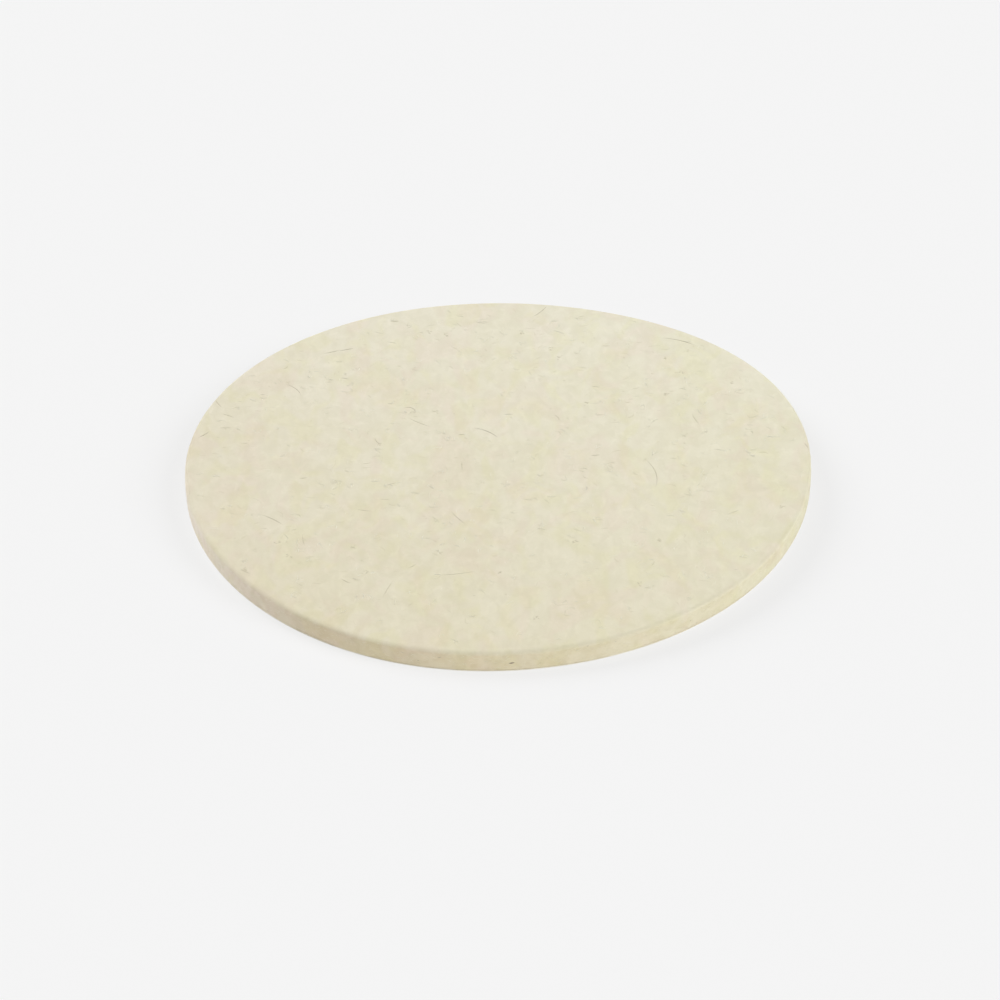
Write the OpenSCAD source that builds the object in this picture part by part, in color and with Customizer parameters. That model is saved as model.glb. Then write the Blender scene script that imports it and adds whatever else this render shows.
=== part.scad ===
// Felt polishing pad for a flat lapidary lap: a die-cut disc of pressed wool
// felt with a peel-and-stick back.
// The origin is at the centre of the underside, where the disc lies on a
// bench, and +Z points out of the polishing face. Sizes are in millimetres.

/* [Felt] */
// Diameter that the die cuts
disc_d = 152.4; // [101.6:25.4:203.2]
// Thickness of the pressed felt
felt_t = 5; // [3:0.5:8]
// Radius of the soft edge round the polishing face
face_edge_r = 0.7; // [0.2:0.1:1.2]
// Radius of the crisper edge round the glued face
glued_edge_r = 0.2; // [0.1:0.05:0.4]

/* [Peel-and-stick back] */
// Thickness of each of the two adhesive layers
adhesive_t = 0.08; // [0.05:0.01:0.15]
// Thickness of the plastic film that carries them
film_t = 0.05; // [0.02:0.01:0.1]
// Thickness of the coated paper that covers the adhesive until use
liner_t = 0.12; // [0.08:0.01:0.2]

/* [Hidden] */
$fn = 180;

disc_r = disc_d / 2;

// The layers are stacked from the bench up, each one on the last.
plate_adhesive_z = liner_t;
film_z = plate_adhesive_z + adhesive_t;
felt_adhesive_z = film_z + film_t;
felt_z = felt_adhesive_z + adhesive_t;

// Half section of a disc with a different radius on each edge
module edged_section(r, t, low_r, high_r) {
    square([r - high_r, t]);
    square([r - low_r, t / 2]);
    translate([0, low_r])
        square([r, t - low_r - high_r]);
    translate([r - low_r, low_r])
        circle(r = low_r);
    translate([r - high_r, t - high_r])
        circle(r = high_r);
}

// One layer of the back, cut by the same die as the felt
module back_layer(z, t) {
    translate([0, 0, z])
        cylinder(r = disc_r, h = t);
}

module felt_disc() {
    color("#e3dcc5")
        translate([0, 0, felt_z])
            rotate_extrude()
                edged_section(disc_r, felt_t, glued_edge_r, face_edge_r);
}

module felt_side_adhesive() {
    color("#e6d9a8")
        back_layer(felt_adhesive_z, adhesive_t);
}

module carrier_film() {
    color("#d9dfe2")
        back_layer(film_z, film_t);
}

module plate_side_adhesive() {
    color("#e6d9a8")
        back_layer(plate_adhesive_z, adhesive_t);
}

module release_liner() {
    color("#efe9dc")
        back_layer(0, liner_t);
}

felt_disc();
felt_side_adhesive();
carrier_film();
plate_side_adhesive();
release_liner();
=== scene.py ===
"""The looks of a felt polishing pad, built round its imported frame.

The pad lies face up on a pale floor and is seen from -Y. Lengths are in metres, as everywhere
in the frame, and MM turns millimetres into them.
"""

import math
import random

import bpy
import numpy as np
from mathutils import Matrix, Vector, noise


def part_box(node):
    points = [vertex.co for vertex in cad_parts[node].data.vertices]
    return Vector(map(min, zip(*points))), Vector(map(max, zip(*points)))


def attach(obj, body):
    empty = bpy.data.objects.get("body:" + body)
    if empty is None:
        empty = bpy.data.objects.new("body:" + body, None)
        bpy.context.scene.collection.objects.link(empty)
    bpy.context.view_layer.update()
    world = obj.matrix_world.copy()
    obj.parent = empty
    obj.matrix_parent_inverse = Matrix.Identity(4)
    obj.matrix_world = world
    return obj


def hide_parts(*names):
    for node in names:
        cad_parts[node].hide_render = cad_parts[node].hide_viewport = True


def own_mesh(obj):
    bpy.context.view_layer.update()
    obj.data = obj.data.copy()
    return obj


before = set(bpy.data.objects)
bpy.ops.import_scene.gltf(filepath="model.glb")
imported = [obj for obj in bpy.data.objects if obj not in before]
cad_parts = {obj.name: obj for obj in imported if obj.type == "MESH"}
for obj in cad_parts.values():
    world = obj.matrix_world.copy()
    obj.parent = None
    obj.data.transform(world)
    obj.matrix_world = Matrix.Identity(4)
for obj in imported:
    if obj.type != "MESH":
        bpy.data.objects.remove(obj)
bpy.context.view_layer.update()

MM = 0.001

# ---- Sizes, from the frame -------------------------------------------------------------------
FELT_LOW, FELT_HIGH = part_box("felt_disc")
RADIUS = FELT_HIGH.x
FACE_Z = FELT_HIGH.z
BACK_Z = FELT_LOW.z

# The pad was cut from a roll, so its ends at +X and -X curl up off the bench.
CURL = 2.7 * MM

# The pad is a little smaller than its die, and out of round. Both were fitted to the photo:
# (number of lobes, height, degrees of the first lobe)
UNDERSIZE = 0.25 * MM
LOBES = ((2, 0.20 * MM, 112), (3, 0.27 * MM, -3), (4, 0.14 * MM, 36), (5, 0.14 * MM, 30))

# The face's soft edge, and the crisper one that the die left round the glued face
FACE_EDGE = 1.0 * MM
BACK_EDGE = 0.2 * MM

# The liner is this much smaller all round, which keeps it clear of the felt as it is peeled.
LINER_INSET = 0.15 * MM

# The felt's mesh: the distance between the rings of points on its face, and the rows of points
# round its soft edge, down its cut side, round its lower edge and across its back
FACE_STEP = 0.55 * MM
EDGE_ROWS = 6
SIDE_ROWS = 9
LOWER_EDGE_ROWS = 2
BACK_ROWS = 10

# Rings of points in the thin layers of the back
LAYER_RINGS = 24
LINER_RINGS = 40

# How uneven the felt is: (length of a wave, height), on its face and on its cut edge
FACE_WAVES = ((16 * MM, 0.030 * MM), (5 * MM, 0.012 * MM), (1.8 * MM, 0.006 * MM))
EDGE_WAVES = ((14 * MM, 0.100 * MM), (4 * MM, 0.050 * MM), (1.6 * MM, 0.028 * MM))

# ---- Camera ----------------------------------------------------------------------------------
CAMERA_ELEVATION = math.radians(34.19)
CAMERA_DISTANCE = 10 * RADIUS
CAMERA_LENS = 112.5  # in millimetres, on a 36 mm sensor
CAMERA_ROLL = math.radians(-1.217)
CAMERA_AIM = (0.48 * MM, -4.61 * MM)  # how far right of and above the origin it looks


def curl(x):
    """How far the pad is lifted off the bench at x."""
    return CURL * (x / RADIUS) ** 2


def outline(angle):
    """The pad's radius at an angle round from +X."""
    lobes = sum(height * math.cos(n * (angle - math.radians(first))) for n, height, first in LOBES)
    return RADIUS - UNDERSIZE + lobes


def waves(point, table):
    """How far an uneven surface stands out at a point."""
    return sum(height * noise.noise(point / length) for length, height in table)


def face_height(x, y):
    """The polishing face's height at x, y, which falls away over its soft edge."""
    past = max(math.hypot(x, y) - outline(math.atan2(y, x)) + FACE_EDGE, 0)
    drop = FACE_EDGE - math.sqrt(max(FACE_EDGE ** 2 - past ** 2, 0))
    return FACE_Z - drop + curl(x) + waves(Vector((x, y, 0)), FACE_WAVES)


# ---- Meshes ----------------------------------------------------------------------------------
def mesh_object(name, points, faces, smooth=True, attributes=None):
    """A new object from points and faces, with a float attribute for each name in attributes."""
    mesh = bpy.data.meshes.new(name)
    mesh.from_pydata([tuple(p) for p in points], [], faces)
    for key, values in (attributes or {}).items():
        made = mesh.attributes.new(key, "FLOAT", "POINT")
        made.data.foreach_set("value", np.asarray(values, np.float32))
    mesh.polygons.foreach_set("use_smooth", [smooth] * len(mesh.polygons))
    mesh.validate()
    mesh.update()
    made = bpy.data.objects.new(name, mesh)
    bpy.context.scene.collection.objects.link(made)
    return made


def ring_start(k):
    """The index of ring k's first point, where ring k of an even disc has 6 k points."""
    return 1 + 3 * k * (k - 1) if k else 0


def even_disc(rings, inset=0.0):
    """(points, triangles) of a flat disc whose triangles are all about the same size."""
    points = [(0.0, 0.0)]
    for k in range(1, rings + 1):
        for j in range(6 * k):
            angle = 2 * math.pi * j / (6 * k)
            out = (outline(angle) - inset) * k / rings
            points.append((out * math.cos(angle), out * math.sin(angle)))
    triangles = []
    for k in range(1, rings + 1):
        outer, inner = ring_start(k), ring_start(k - 1)
        for sector in range(6):
            for i in range(k):
                a = outer + sector * k + i
                b = outer + (sector * k + i + 1) % (6 * k)
                c = inner + (sector * (k - 1) + i) % max(6 * (k - 1), 1)
                triangles.append((c, a, b))
                if i < k - 1:
                    d = inner + (sector * (k - 1) + i + 1) % (6 * (k - 1))
                    triangles.append((c, b, d))
    return points, triangles


def band(first, second, count):
    """Quads between two rings of points that start at the indices first and second."""
    quads = []
    for j in range(count):
        after = (j + 1) % count
        quads.append((first + j, second + j, second + after, first + after))
    return quads


def felt_profile():
    """(distance from the axis, height, slope of the normal, how much it is cut edge) of each ring
    below the face, from its soft edge round the side to the middle of the glued back."""
    rows = []
    for i in range(1, EDGE_ROWS + 1):
        turn = math.pi / 2 * i / EDGE_ROWS
        out = RADIUS - FACE_EDGE * (1 - math.sin(turn))
        height = FACE_Z - FACE_EDGE * (1 - math.cos(turn))
        rows.append((out, height, math.pi / 2 - turn, (i / EDGE_ROWS) ** 3))
    side_low, side_high = BACK_Z + BACK_EDGE, FACE_Z - FACE_EDGE
    for i in range(1, SIDE_ROWS + 1):
        rows.append((RADIUS, side_high + (side_low - side_high) * i / SIDE_ROWS, 0, 1))
    for i in range(1, LOWER_EDGE_ROWS + 1):
        turn = math.pi / 2 * i / LOWER_EDGE_ROWS
        out = RADIUS - BACK_EDGE * (1 - math.cos(turn))
        rows.append((out, side_low - BACK_EDGE * math.sin(turn), -turn, 1))
    for i in range(1, BACK_ROWS):
        rows.append(((RADIUS - BACK_EDGE) * (1 - i / BACK_ROWS), BACK_Z, -math.pi / 2, 1))
    return rows


def build_felt():
    """The felt disc: an uneven face, a soft edge, a ragged cut side and a flat glued back."""
    rings = round((RADIUS - FACE_EDGE) / FACE_STEP)
    flat, faces = even_disc(rings, FACE_EDGE)
    points = [(x, y, face_height(x, y)) for x, y in flat]
    cut = [0.0] * len(points)
    around = 6 * rings
    above = ring_start(rings)
    for out, height, slope, share in felt_profile():
        start = len(points)
        for j in range(around):
            angle = 2 * math.pi * j / around
            level = math.cos(slope)
            normal = Vector((level * math.cos(angle), level * math.sin(angle), math.sin(slope)))
            reach = out * outline(angle) / RADIUS
            at = Vector((reach * math.cos(angle), reach * math.sin(angle), height))
            if height > BACK_Z:
                flat_at = Vector((at.x, at.y, 0))
                as_face = waves(flat_at, FACE_WAVES) * (1 - share)
                at += normal * (as_face + waves(at, EDGE_WAVES) * share)
            at.z += curl(at.x)
            points.append(at)
            cut.append(share)
        faces += band(above, start, around)
        above = start
    points.append((0, 0, BACK_Z))
    cut.append(1.0)
    faces += [(above + j, len(points) - 1, above + (j + 1) % around) for j in range(around)]
    return mesh_object("felt", points, faces, attributes={"cut_edge": cut})


def build_layer(name, node, rings, inset=0.0):
    """One thin layer of the back, curled as the felt is. Its attribute inner_side is 1 on top."""
    low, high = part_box(node)
    flat, triangles = even_disc(rings, inset)
    count = len(flat)
    points = [(x, y, high.z + curl(x)) for x, y in flat]
    points += [(x, y, low.z + curl(x)) for x, y in flat]
    faces = triangles + [(a + count, c + count, b + count) for a, b, c in triangles]
    faces += band(ring_start(rings), ring_start(rings) + count, 6 * rings)
    inner = [1.0] * count + [0.0] * count
    return mesh_object(name, points, faces, smooth=False, attributes={"inner_side": inner})


# ---- Strands ---------------------------------------------------------------------------------
UP = Vector((0, 0, 1))
STRAND_SIDES = 3
PRESSED = 0.5  # how thick a strand is for its width, because it was pressed flat

# Where the random draws start
SEED = 20

# How many strands of each kind lie at random places, and how many make a knot
FACE_HAIRS = 90
SIDE_HAIRS = 60
PALE_TUFT_COUNT = 480
TAN_FIBRES = 260
FUZZ_FIBRES = 1500
KNOT_STRANDS = 6

# How far the ends of random hairs, and the middles of random tufts, stay from the rim
EDGE_CLEARANCE = 1.2 * MM
TUFT_CLEARANCE = 3.5 * MM

# The radius of the palest coarse hair, and how much thicker the darkest one is, in millimetres
HAIR_RADIUS = 0.085
DARK_HAIR_EXTRA = 0.040


def outward(angle):
    """The level direction away from the pad's axis, at an angle round from +X."""
    return Vector((math.cos(angle), math.sin(angle), 0))


def add_strand(parts, path, radius, up, shade):
    """Adds a flat tube that tapers to a point at both ends. parts is (points, faces, shades)."""
    points, faces, shades = parts
    first = len(points)
    points.append(path[0])
    for i in range(1, len(path) - 1):
        along = (path[i + 1] - path[i - 1]).normalized()
        side = along.cross(up).normalized()
        top = side.cross(along)
        thick = radius * math.sin(math.pi * i / (len(path) - 1)) ** 0.5
        for k in range(STRAND_SIDES):
            turn = math.pi / 2 + 2 * math.pi * k / STRAND_SIDES
            across = side * (thick * math.cos(turn))
            points.append(path[i] + across + top * (PRESSED * thick * math.sin(turn)))
    points.append(path[-1])
    last = len(points) - 1
    shades.extend([shade] * (last + 1 - first))
    rows = len(path) - 2
    for k in range(STRAND_SIDES):
        after = (k + 1) % STRAND_SIDES
        faces.append((first, first + 1 + k, first + 1 + after))
        for i in range(rows - 1):
            a = first + 1 + STRAND_SIDES * i
            b = a + STRAND_SIDES
            faces.append((a + k, b + k, b + after, a + after))
        end = first + 1 + STRAND_SIDES * (rows - 1)
        faces.append((end + k, last, end + after))


def face_path(x, y, heading, length, turn, lift, steps=8):
    """Points of a strand on the face that turns by turn along its length. lift(t) is its height
    above the felt, where t goes from 0 to 1."""
    path = []
    for i in range(steps + 1):
        t = i / steps
        path.append(Vector((x, y, face_height(x, y) + lift(t))))
        way = heading + turn * (t - 0.5)
        x += math.cos(way) * length / steps
        y += math.sin(way) * length / steps
    return path


def side_path(angle, z, length, climb, lift, steps=6):
    """Points of a strand on the cut side. climb is how far it rises along its length."""
    path = []
    for i in range(steps + 1):
        t = i / steps
        a = angle + length / RADIUS * (t - 0.5)
        out = outward(a)
        at = out * outline(a) + Vector((0, 0, z + climb * (t - 0.5)))
        at += out * (waves(at, EDGE_WAVES) + lift(t))
        at.z += curl(at.x)
        path.append(at)
    return path


def arch(low, high):
    """A lift that goes from low at both ends to high in the middle."""
    return lambda t: low + (high - low) * math.sin(math.pi * t)


def finish_strands(name, parts):
    """One object from all the strands in parts."""
    points, faces, shades = parts
    return mesh_object(name, points, faces, attributes={"shade": shades})


def random_place(rng, reach):
    """A random place on the face, within reach of its centre."""
    out = reach * math.sqrt(rng.random())
    angle = rng.uniform(0, 2 * math.pi)
    return out * math.cos(angle), out * math.sin(angle)


def random_strand(rng, length):
    """(x, y, heading) of the start of a strand that stays on the face."""
    x, y = random_place(rng, RADIUS - EDGE_CLEARANCE - length / 2)
    heading = rng.uniform(0, 2 * math.pi)
    return x - math.cos(heading) * length / 2, y - math.sin(heading) * length / 2, heading


# The coarse dark hairs that show most, measured in the photo, in millimetres and degrees:
# (x and y of the start, heading, length, turn, how dark from 0 to 1)
COARSE_HAIRS = (
    (-40.5, 52, 20, 5, 15, 0.5),
    (-44.5, 50.5, 25, 6, 20, 0.25),
    (-53.5, 36, -56, 8.5, -70, 0.28),
    (-68.5, 21.5, -28, 4.5, -20, 0.2),
    (-68.5, 15, 5, 3.5, 10, 0.25),
    (-73.5, 10, 50, 5, 20, 0.45),
    (-70, 28, -62, 4.5, 30, 0.25),
    (-23.5, 25, -50, 6, -170, 0.4),
    (-22.5, 21.5, -36, 9, 25, 0.2),
    (-30, 12.5, -60, 5.5, 60, 0.2),
    (-6.5, 16, -40, 9.5, -55, 0.6),
    (9.5, 67.5, 55, 8, 30, 0.4),
    (10.5, 75, 0, 4.5, 10, 0.6),
    (42, 55, -31, 12, -40, 0.35),
    (27, 52.5, -5, 3, 15, 0.15),
    (22.5, 2, 7, 3, 20, 0.4),
    (1.5, 21.5, 0, 3, -15, 0.25),
    (35, 0.5, -83, 15.5, -60, 0.25),
    (48.5, 19, -72, 6, 30, 0.1),
    (14, 21, -70, 4, -80, 0.15),
    (-57, -21.5, -38, 8.5, -25, 0.3),
    (-34, -19, -12, 4.5, 20, 0.12),
    (-28.5, -15, 0, 3, 10, 0),
    (-11.5, -19.5, -57, 8, 20, 0.22),
    (-48, -6.5, 14, 2.5, 0, 0.2),
    (-27, -9, 24, 3, 20, 0.18),
    (-8.5, 1.5, -87, 5, 20, 0.1),
    (-46, -29, -82, 6, 20, 0.1),
    (-37, -47, -36, 4, 15, 0.2),
    (-21.5, -43.5, 44, 3.5, 20, 0.2),
    (-27, -55.5, 70, 9, -15, 0.05),
    (-16, -46, 9, 12, 20, 0.05),
    (-60.5, -43.5, -35, 4.5, 20, 0.1),
    (53.5, -26, 30, 4.5, 20, 0.22),
    (74.5, 2.5, -70, 3.5, 0, 0.3),
)

# Small dark knots of fibre on the face, measured in the photo, in millimetres:
# (x, y, how dark from 0 to 1)
KNOTS = (
    (43, 45, 0.3), (47, 38, 0.25), (59.5, 31.5, 0.25), (22.5, 25.5, 0.35), (17.5, -34, 0.5),
    (0, -45.5, 0.35), (32, -51.5, 0.25), (37.5, -35, 0.2), (67, -24, 0.3), (-52, -33.5, 0.4),
    (-34, -34.5, 0.3), (-49, -38.5, 0.15), (-14, -37, 0.2), (-31, -44.5, 0.15), (8, -63, 0.25),
    (-17, 61.5, 0.15), (-12.5, 59.5, 0.25), (7, 60, 0.25), (14.5, 52, 0.2), (16.5, 47.5, 0.25),
    (-15, 23.5, 0.2), (42.5, 28, 0.25), (-29, 9, 0.3), (-21, 23, 0.2), (-59, -44, 0.15),
)

# Pale tufts that catch the light, measured in the photo, in millimetres: (x, y)
PALE_TUFTS = (
    (-23, 38.5), (-42, 38), (-13.5, -3), (-12, 11.5),
    (-39, -8), (-26.5, -9), (-16, -10), (27, -5),
)

# Dark flecks in the cut side, measured in the photo, in degrees and millimetres:
# (angle round from +X, height, length, how thick, how dark from 0 to 1)
RIM_FLECKS = (
    (-88.3, 2.3, 2.4, 0.38, 0.9),
    (-134.5, 1.0, 1.2, 0.12, 0.5),
    (-104.2, 1.9, 1.0, 0.14, 0.4),
    (-75.2, 4.5, 0.8, 0.13, 0.4),
    (-70.2, 4.0, 0.9, 0.12, 0.4),
    (-55.5, 2.4, 0.9, 0.13, 0.5),
    (-53.2, 4.5, 0.7, 0.10, 0.3),
)


def add_placed_hairs(parts):
    """Lays the hairs of COARSE_HAIRS half sunk in the face."""
    for x, y, heading, length, turn, dark in COARSE_HAIRS:
        radius = (HAIR_RADIUS + DARK_HAIR_EXTRA * dark) * MM
        lift = arch(-0.4 * radius, 0.2 * radius)
        path = face_path(x * MM, y * MM, math.radians(heading), length * MM, math.radians(turn),
                         lift, steps=14)
        add_strand(parts, path, radius, UP, dark)


def add_knots(parts, rng):
    """Lays short strands across each other at each place in KNOTS."""
    for x, y, dark in KNOTS:
        for _ in range(KNOT_STRANDS):
            radius = rng.uniform(0.08, 0.14) * MM
            start_x = (x + rng.uniform(-0.8, 0.3)) * MM
            start_y = (y + rng.uniform(-0.6, 0.6)) * MM
            heading = rng.uniform(-0.9, 0.9)
            length = rng.uniform(0.6, 1.2) * MM
            path = face_path(start_x, start_y, heading, length, rng.uniform(-3, 3),
                             arch(-0.5 * radius, 0.1 * radius))
            add_strand(parts, path, radius, UP, dark * rng.uniform(0.1, 0.5))


def add_face_hairs(parts, rng):
    """Lays faint short hairs anywhere on the face."""
    for _ in range(FACE_HAIRS):
        radius = rng.uniform(0.03, 0.05) * MM
        length = (rng.uniform(0.7, 2.0) + 5 * rng.random() ** 3) * MM
        x, y, heading = random_strand(rng, length)
        lift = arch(-0.5 * radius, 0.1 * radius)
        path = face_path(x, y, heading, length, rng.uniform(-2.5, 2.5), lift)
        add_strand(parts, path, radius, UP, 0.12 * rng.random() ** 2)


def add_rim_flecks(parts):
    """Sets the flecks of RIM_FLECKS almost flush in the cut side."""
    for degrees, z, length, thick, dark in RIM_FLECKS:
        angle = math.radians(degrees)
        lift = arch(-0.9 * thick * MM, -0.1 * thick * MM)
        path = side_path(angle, z * MM, length * MM, 0.1 * length * MM, lift)
        add_strand(parts, path, thick * MM, outward(angle), dark)


def add_side_hairs(parts, rng):
    """Lays short hairs anywhere on the cut side."""
    for _ in range(SIDE_HAIRS):
        angle = rng.uniform(0, 2 * math.pi)
        radius = rng.uniform(0.03, 0.06) * MM
        z = rng.uniform(BACK_Z + 0.5 * MM, FACE_Z - 1 * MM)
        length = rng.uniform(0.3, 1.6) * MM
        climb = rng.uniform(-0.6, 0.6) * MM
        path = side_path(angle, z, length, climb, arch(-0.8 * radius, 0.3 * radius))
        add_strand(parts, path, radius, outward(angle), 0.6 * rng.random() ** 2)


def build_coarse_hairs(rng):
    """Kemp, the coarse dark hair that wool brings with it. The plain ones are in the tables above,
    and faint ones lie anywhere."""
    parts = ([], [], [])
    add_placed_hairs(parts)
    add_knots(parts, rng)
    add_face_hairs(parts, rng)
    add_rim_flecks(parts)
    add_side_hairs(parts, rng)
    return finish_strands("coarse_hairs", parts)


def build_fine_fibres(rng, name, tufts, most, stand, radii, placed=()):
    """Loose wool fibres on the face, in tufts of up to most, and in bigger tufts at placed.
    stand is how far the proudest one stands off the felt, and radii is (thinnest, thickest)."""
    parts = ([], [], [])
    places = [(x * MM, y * MM, 2 * most) for x, y in placed]
    for _ in range(tufts):
        places.append((*random_place(rng, RADIUS - TUFT_CLEARANCE), rng.randint(1, most)))
    for x, y, count in places:
        for _ in range(count):
            radius = rng.uniform(*radii) * MM
            length = rng.uniform(0.8, 4.0) * MM
            heading = rng.uniform(0, 2 * math.pi)
            start_x = x - math.cos(heading) * length / 2 + rng.uniform(-0.5, 0.5) * MM
            start_y = y - math.sin(heading) * length / 2 + rng.uniform(-0.5, 0.5) * MM
            path = face_path(start_x, start_y, heading, length, rng.uniform(-3, 3),
                             arch(-radius, stand * rng.random()))
            add_strand(parts, path, radius, UP, rng.random())
    return finish_strands(name, parts)


def build_edge_fuzz(rng):
    """Fibre ends that stand off the cut side."""
    parts = ([], [], [])
    for _ in range(FUZZ_FIBRES):
        angle = rng.uniform(0, 2 * math.pi)
        radius = rng.uniform(0.012, 0.022) * MM
        stand = rng.uniform(0.05, 0.25) * MM
        z = rng.uniform(BACK_Z + 0.3 * MM, FACE_Z - 0.5 * MM)
        length = rng.uniform(0.5, 1.6) * MM
        climb = rng.uniform(-0.8, 0.8) * MM
        path = side_path(angle, z, length, climb, arch(-radius, stand))
        add_strand(parts, path, radius, outward(angle), rng.random())
    return finish_strands("edge_fuzz", parts)


# ---- Materials -------------------------------------------------------------------------------
def make(tree, kind, settings=None, **sockets):
    """A new node, with its settings, and its sockets set to values or linked to outputs."""
    made = tree.nodes.new("ShaderNode" + kind)
    for key, value in (settings or {}).items():
        setattr(made, key, value)
    for key, value in sockets.items():
        socket = made.inputs[key.replace("_", " ")]
        if isinstance(value, bpy.types.NodeSocket):
            tree.links.new(value, socket)
        else:
            socket.default_value = value
    return made


def calculate(tree, operation, a, b=0.0):
    """The output of a Math node."""
    made = tree.nodes.new("ShaderNodeMath")
    made.operation = operation
    for socket, value in zip(made.inputs, (a, b)):
        if isinstance(value, bpy.types.NodeSocket):
            tree.links.new(value, socket)
        else:
            socket.default_value = value
    return made.outputs[0]


def spread(tree, value, low, high, to_low=0.0, to_high=1.0):
    """value, moved from low..high to to_low..to_high and held there."""
    made = make(tree, "MapRange", {"interpolation_type": "SMOOTHSTEP"}, Value=value, From_Min=low,
                From_Max=high, To_Min=to_low, To_Max=to_high)
    return made.outputs["Result"]


def tint(tree, base, colour, amount, blend="MIX"):
    """base, mixed towards colour by amount, or filtered by it with the blend MULTIPLY."""
    made = tree.nodes.new("ShaderNodeMix")
    made.data_type = "RGBA"
    made.blend_type = blend
    factor, a, b = made.inputs["Factor"], made.inputs[6], made.inputs[7]
    for socket, value in ((factor, amount), (a, base), (b, colour)):
        if isinstance(value, bpy.types.NodeSocket):
            tree.links.new(value, socket)
        else:
            socket.default_value = value
    return made.outputs[2]


def new_material(name):
    """(material, its node tree, its Principled node)"""
    material = bpy.data.materials.new(name)
    material.use_nodes = True
    tree = material.node_tree
    return material, tree, tree.nodes["Principled BSDF"]


def in_mm(tree, turn=0.0, stretch=(1, 1, 1), shift=(0, 0, 0)):
    """Object coordinates in millimetres, turned about Z, then stretched."""
    place = make(tree, "TexCoord").outputs["Object"]
    turned = make(tree, "Mapping", Vector=place, Rotation=(0, 0, turn), Scale=(1 / MM,) * 3)
    moved = make(tree, "Mapping", Vector=turned.outputs["Vector"], Location=shift, Scale=stretch)
    return moved.outputs["Vector"]


def mottle(tree, size, shift, detail=2.0, warp=0.0):
    """Soft noise from 0 to 1, with patches of about size millimetres that warp makes wispy. They
    run a little longer along Y, as the wool was carded."""
    at = in_mm(tree, stretch=(1, 0.62, 1), shift=(shift, 0, 0))
    made = make(tree, "TexNoise", Vector=at, Scale=1 / size, Detail=detail, Roughness=0.5,
                Distortion=warp)
    return made.outputs["Fac"]


def strand_lines(tree, turn, shift, size, width):
    """Thin wandering lines that run mostly one way, like fibres in felt, from 0 to 1."""
    at = in_mm(tree, turn=turn, stretch=(0.3, 1, 1), shift=(shift, shift, 0))
    bent = make(tree, "TexNoise", Vector=at, Scale=1 / size, Detail=1.0, Distortion=1.2)
    off_middle = calculate(tree, "SUBTRACT", bent.outputs["Fac"], 0.5)
    off_line = calculate(tree, "ABSOLUTE", off_middle)
    line = spread(tree, off_line, 0.0, width, 1.0, 0.0)
    gaps = spread(tree, mottle(tree, size * 1.5, shift + 31), 0.42, 0.58)
    return calculate(tree, "MULTIPLY", line, gaps)


def strand_net(tree, turns, shift, size, width):
    """Several sets of strand lines that cross each other."""
    net = None
    for i, turn in enumerate(turns):
        lines = strand_lines(tree, math.radians(turn), shift + 17 * i, size, width)
        net = lines if net is None else calculate(tree, "MAXIMUM", net, lines)
    return net


# The patches in the felt, each a filter over its colour:
# (size in millimetres, shift, warp, noise where it starts and is full, filter)
FELT_PATCHES = (
    (11, 0, 0.5, 0.35, 0.65, (1.016, 1.019, 1.042, 1)),  # whiter
    (7, 50, 0.8, 0.46, 0.66, (0.988, 0.992, 0.930, 1)),  # yellower
    (9, 90, 0.8, 0.45, 0.66, (1.000, 0.971, 0.988, 1)),  # pinker
    (3, 130, 0.6, 0.35, 0.66, (0.960, 0.958, 0.943, 1)),  # greyer
    (2.4, 210, 0.8, 0.50, 0.72, (1.032, 1.033, 1.043, 1)),  # paler
)


def felt_face_colour_and_painted_light(tree, x, y):
    """Cream with soft patches, and painted light: a little paler to the right and whiter to the
    back.
    """
    # Painted light: the face is painted paler towards +X.
    across = spread(tree, x, -90, 90)
    colour = tint(tree, (0.724, 0.669, 0.506, 1), (0.743, 0.701, 0.527, 1), across)
    # Painted light: the face is painted whiter and bluer towards the back.
    back = spread(tree, y, -90, 90)
    colour = tint(tree, colour, (1.057, 1.075, 1.127, 1), back, "MULTIPLY")
    for size, shift, warp, low, high, patch in FELT_PATCHES:
        amount = spread(tree, mottle(tree, size, shift, warp=warp), low, high)
        colour = tint(tree, colour, patch, amount, "MULTIPLY")
    return colour


def felt_side_wear_and_painted_light(tree, x, y):
    """The filter over the felt's colour on its cut side, with worn patches and painted light. The
    side is painted pinker and brighter towards -X and darker and yellower towards +X at the front,
    and plainer and darker behind: lighter where it is in shade, darker where the key and fill fall."""
    # Painted light: pinker and brighter towards -X at the front, where the side is in shade, and
    # darker and yellower towards +X, where the key falls.
    painted_light_tone = tint(tree, (1.045, 0.985, 0.935, 1), (0.89, 0.895, 0.865, 1), spread(tree, x, -40, 85))
    # Painted shade: bluer and a little darker at the -X end, where the fill falls.
    painted_light_tone = tint(tree, (0.985, 0.971, 1.070, 1), painted_light_tone, spread(tree, x, -80, -25))
    # Painted shade: plainer and darker behind, where the fill falls on the side.
    painted_light_tone = tint(tree, painted_light_tone, (0.935, 0.945, 0.950, 1), spread(tree, y, -35, 25))
    # The worn patches are the cut side's own colour.
    worn = spread(tree, mottle(tree, 2.5, 170, warp=1.0), 0.40, 0.68)
    return tint(tree, painted_light_tone, (0.955, 0.945, 0.915, 1), worn, "MULTIPLY")


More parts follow.
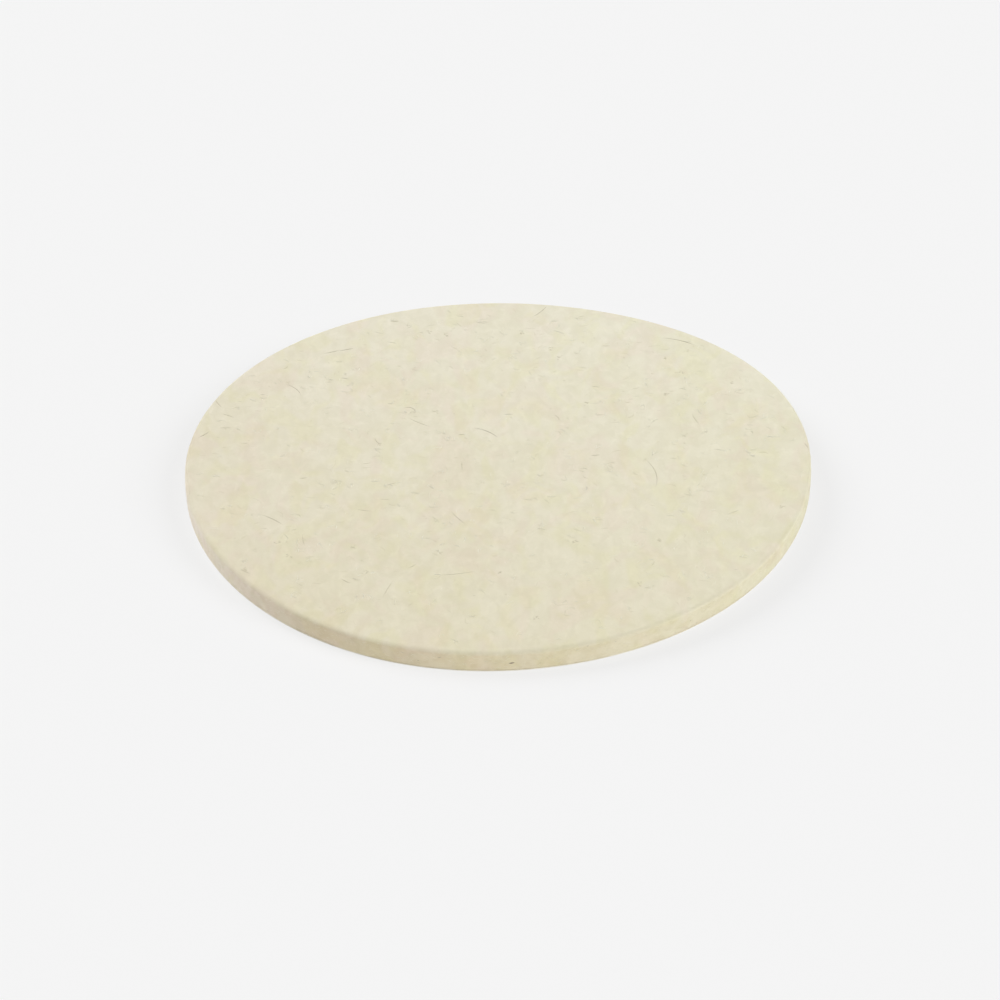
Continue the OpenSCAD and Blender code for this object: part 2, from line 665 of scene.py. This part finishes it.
def felt_material():
    """Pressed wool felt, with fibres pressed in."""
    material, tree, shader = new_material("wool_felt")
    at = make(tree, "SeparateXYZ", Vector=in_mm(tree)).outputs
    colour = felt_face_colour_and_painted_light(tree, at["X"], at["Y"])
    pale = strand_net(tree, (10, 70, 130), 200, 2.2, 0.04)
    pale_amount = calculate(tree, "MULTIPLY", pale, 0.3)
    colour = tint(tree, colour, (1.03, 1.03, 1.05, 1), pale_amount, "MULTIPLY")
    tan = strand_net(tree, (40, 100, 160), 300, 2.6, 0.04)
    tan_amount = calculate(tree, "MULTIPLY", tan, 0.2)
    colour = tint(tree, colour, (0.93, 0.92, 0.86, 1), tan_amount, "MULTIPLY")
    edge = make(tree, "Attribute", {"attribute_name": "cut_edge"}).outputs["Fac"]
    # The cut side takes its worn patches and its painted light here.
    colour = tint(tree, colour, felt_side_wear_and_painted_light(tree, at["X"], at["Y"]), edge, "MULTIPLY")
    tree.links.new(colour, shader.inputs["Base Color"])
    raised = calculate(tree, "MULTIPLY", pale, 0.5)
    height = calculate(tree, "ADD", raised, mottle(tree, 0.6, 400, 4.0))
    bump = make(tree, "Bump", Height=height, Strength=0.15, Distance=0.05 * MM)
    tree.links.new(bump.outputs["Normal"], shader.inputs["Normal"])
    shader.inputs["Roughness"].default_value = 0.95
    shader.inputs["Specular IOR Level"].default_value = 0.15
    shader.inputs["Sheen Weight"].default_value = 0.08
    shader.inputs["Sheen Roughness"].default_value = 0.6
    return material


def strand_material(name, light, dark):
    """Wool strands, each somewhere between light and dark by its shade."""
    material, tree, shader = new_material(name)
    shade = make(tree, "Attribute", {"attribute_name": "shade"}).outputs["Fac"]
    uneven = mottle(tree, 0.8, 10)
    amount = calculate(tree, "MULTIPLY", shade, spread(tree, uneven, 0.3, 0.7, 0.75, 1.0))
    tree.links.new(tint(tree, light, dark, amount), shader.inputs["Base Color"])
    shader.inputs["Roughness"].default_value = 0.7
    shader.inputs["Specular IOR Level"].default_value = 0.3
    return material


def adhesive_material(name, shift):
    """Acrylic adhesive: pale amber, with the faint orange peel of a transfer coat."""
    material, tree, shader = new_material(name)
    patches = spread(tree, mottle(tree, 6, shift), 0.35, 0.65)
    colour = tint(tree, (0.780, 0.710, 0.540, 1), (0.820, 0.770, 0.630, 1), patches)
    tree.links.new(colour, shader.inputs["Base Color"])
    bumps = mottle(tree, 0.9, shift + 5, 3.0)
    peel = make(tree, "Bump", Height=bumps, Strength=0.3, Distance=0.02 * MM)
    tree.links.new(peel.outputs["Normal"], shader.inputs["Normal"])
    tree.links.new(spread(tree, patches, 0, 1, 0.22, 0.38), shader.inputs["Roughness"])
    return material


def film_material():
    """Clear polyester film, seen only as a pale line at the rim."""
    material, tree, shader = new_material("clear_film")
    haze = spread(tree, mottle(tree, 4, 60), 0.3, 0.7)
    colour = tint(tree, (0.70, 0.74, 0.76, 1), (0.78, 0.81, 0.82, 1), haze)
    tree.links.new(colour, shader.inputs["Base Color"])
    tree.links.new(spread(tree, haze, 0, 1, 0.08, 0.16), shader.inputs["Roughness"])
    return material


def paper_material():
    """Release paper: fibrous outside, and smooth with silicone on the adhesive's side."""
    material, tree, shader = new_material("release_paper")
    cloud = spread(tree, mottle(tree, 9, 120), 0.25, 0.75)
    colour = tint(tree, (0.765, 0.733, 0.630, 1), (0.795, 0.768, 0.675, 1), cloud)
    fibres = strand_net(tree, (0, 55, 120), 500, 0.9, 0.03)
    colour = tint(tree, colour, (0.640, 0.570, 0.440, 1), calculate(tree, "MULTIPLY", fibres, 0.12))
    inner = make(tree, "Attribute", {"attribute_name": "inner_side"}).outputs["Fac"]
    colour = tint(tree, colour, (0.830, 0.780, 0.590, 1), calculate(tree, "MULTIPLY", inner, 0.6))
    tree.links.new(colour, shader.inputs["Base Color"])
    tree.links.new(spread(tree, inner, 0, 1, 0.72, 0.28), shader.inputs["Roughness"])
    bumps = mottle(tree, 0.4, 140, 3.0)
    tooth = make(tree, "Bump", Height=bumps, Strength=0.25, Distance=0.02 * MM)
    tree.links.new(tooth.outputs["Normal"], shader.inputs["Normal"])
    return material


# ---- Studio ----------------------------------------------------------------------------------
FLOOR_ALBEDO = 0.20
FLOOR_GLOW = 0.705
SKY_STRENGTH = 0.17
SOFTBOX_SPREAD = math.radians(40)


def build_floor():
    """A pale floor that sweeps up into a low wall all round, far from the pad. It glows a little,
    as a light table does, which keeps the shadows faint."""
    reach, bend, wall = 5.0, 1.0, 1.6
    bend_steps = 12
    count = 96
    profile = [(0.3, 0.0), (1.0, 0.0), (2.5, 0.0)]
    for i in range(bend_steps + 1):
        turn = math.pi / 2 * i / bend_steps
        profile.append((reach - bend + bend * math.sin(turn), bend * (1 - math.cos(turn))))
    profile.append((reach, wall))
    points = []
    for out, height in profile:
        for j in range(count):
            angle = 2 * math.pi * j / count
            points.append((out * math.cos(angle), out * math.sin(angle), height))
    faces = [tuple(range(count))]
    for i in range(len(profile) - 1):
        faces += band(i * count, (i + 1) * count, count)
    floor = mesh_object("studio_floor", points, faces)
    material, _, shader = new_material("studio_floor")
    shader.inputs["Base Color"].default_value = (FLOOR_ALBEDO, FLOOR_ALBEDO, FLOOR_ALBEDO, 1)
    shader.inputs["Emission Color"].default_value = (1, 1, 1, 1)
    shader.inputs["Emission Strength"].default_value = FLOOR_GLOW
    shader.inputs["Roughness"].default_value = 1.0
    shader.inputs["Specular IOR Level"].default_value = 0.0
    floor.data.materials.append(material)


def build_lights():
    """Soft studio light: a broad key on the right, another as broad from behind on the left, and
    a little from everywhere."""
    world = bpy.data.worlds.new("studio")
    bpy.context.scene.world = world
    world.use_nodes = True
    background = world.node_tree.nodes["Background"]
    background.inputs["Color"].default_value = (1, 1, 1, 1)
    background.inputs["Strength"].default_value = SKY_STRENGTH
    add_softbox("key", strength=2.09, azimuth=63, elevation=35)
    add_softbox("fill", strength=2.30, azimuth=-125, elevation=35)


def add_softbox(name, strength, azimuth, elevation):
    """A broad distant light, placed in degrees. Azimuth 0 is the viewer's side, and 90 is +X."""
    light = bpy.data.lights.new(name, "SUN")
    light.energy = strength
    light.angle = SOFTBOX_SPREAD
    a, e = math.radians(azimuth), math.radians(elevation)
    towards = Vector((math.sin(a) * math.cos(e), -math.cos(a) * math.cos(e), math.sin(e)))
    made = bpy.data.objects.new(name, light)
    made.location = towards
    made.rotation_euler = towards.to_track_quat("Z", "Y").to_euler()
    bpy.context.scene.collection.objects.link(made)


def build_camera():
    """The camera: on the -Y side, looking down at the pad, and rolled a little."""
    e = CAMERA_ELEVATION
    back = Vector((0, -math.cos(e), math.sin(e)))
    right = Vector((1, 0, 0))
    up = back.cross(right)
    place = back * CAMERA_DISTANCE
    target = right * CAMERA_AIM[0] + up * CAMERA_AIM[1]
    back = (place - target).normalized()
    level = Vector((0, 0, 1)).cross(back).normalized()
    right = Matrix.Rotation(CAMERA_ROLL, 3, back) @ level
    up = back.cross(right)
    data = bpy.data.cameras.new("camera")
    data.lens = CAMERA_LENS
    data.clip_start, data.clip_end = 0.05, 50
    camera = bpy.data.objects.new("camera", data)
    rotation = Matrix((right, up, back)).transposed()
    camera.matrix_world = Matrix.Translation(place) @ rotation.to_4x4()
    bpy.context.scene.collection.objects.link(camera)
    bpy.context.scene.camera = camera


def add_piece(piece, body, slot, material, *nodes):
    """Gives a piece its material and its body, and hides the nodes that it stands for. slot is not
    used.
    """
    piece.data.materials.append(material)
    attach(piece, body)
    if nodes:
        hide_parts(*nodes)
    return piece


def build_pad():
    """All the pieces of the pad and its liner. The fibres take their random draws in this order."""
    rng = random.Random(SEED)
    felt = add_piece(build_felt(), "pad", "felt", felt_material(), "felt_disc")

    hairs = strand_material("kemp", (0.65, 0.595, 0.45, 1), (0.17, 0.12, 0.09, 1))
    add_piece(build_coarse_hairs(rng), "pad", "felt", hairs)
    pale = strand_material("pale_wool", (0.90, 0.88, 0.78, 1), (0.80, 0.76, 0.62, 1))
    pale_fibres = build_fine_fibres(rng, "pale_fibres", tufts=PALE_TUFT_COUNT, most=4,
                                    stand=0.07 * MM, radii=(0.022, 0.075), placed=PALE_TUFTS)
    add_piece(pale_fibres, "pad", "felt", pale)
    tan = strand_material("tan_wool", (0.71, 0.655, 0.49, 1), (0.60, 0.53, 0.38, 1))
    tan_fibres = build_fine_fibres(rng, "tan_fibres", tufts=TAN_FIBRES, most=1,
                                   stand=0.03 * MM, radii=(0.02, 0.055))
    add_piece(tan_fibres, "pad", "felt", tan)
    add_piece(build_edge_fuzz(rng), "pad", "felt", pale)

    # The number shifts each layer's noise, so that the two don't look the same.
    for name, shift in (("felt_side_adhesive", 18), ("plate_side_adhesive", 19)):
        layer = build_layer(name + "_layer", name, LAYER_RINGS)
        add_piece(layer, "pad", name, adhesive_material(name, shift), name)
    film = build_layer("carrier_film_layer", "carrier_film", LAYER_RINGS)
    add_piece(film, "pad", "carrier_film", film_material(), "carrier_film")

    liner = build_layer("release_liner_sheet", "release_liner", LINER_RINGS, LINER_INSET)
    add_piece(liner, "liner", "release_liner", paper_material(), "release_liner")
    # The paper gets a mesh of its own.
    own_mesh(liner)


bpy.context.scene.view_settings.view_transform = "Standard"
build_camera()
build_floor()
build_lights()
build_pad()
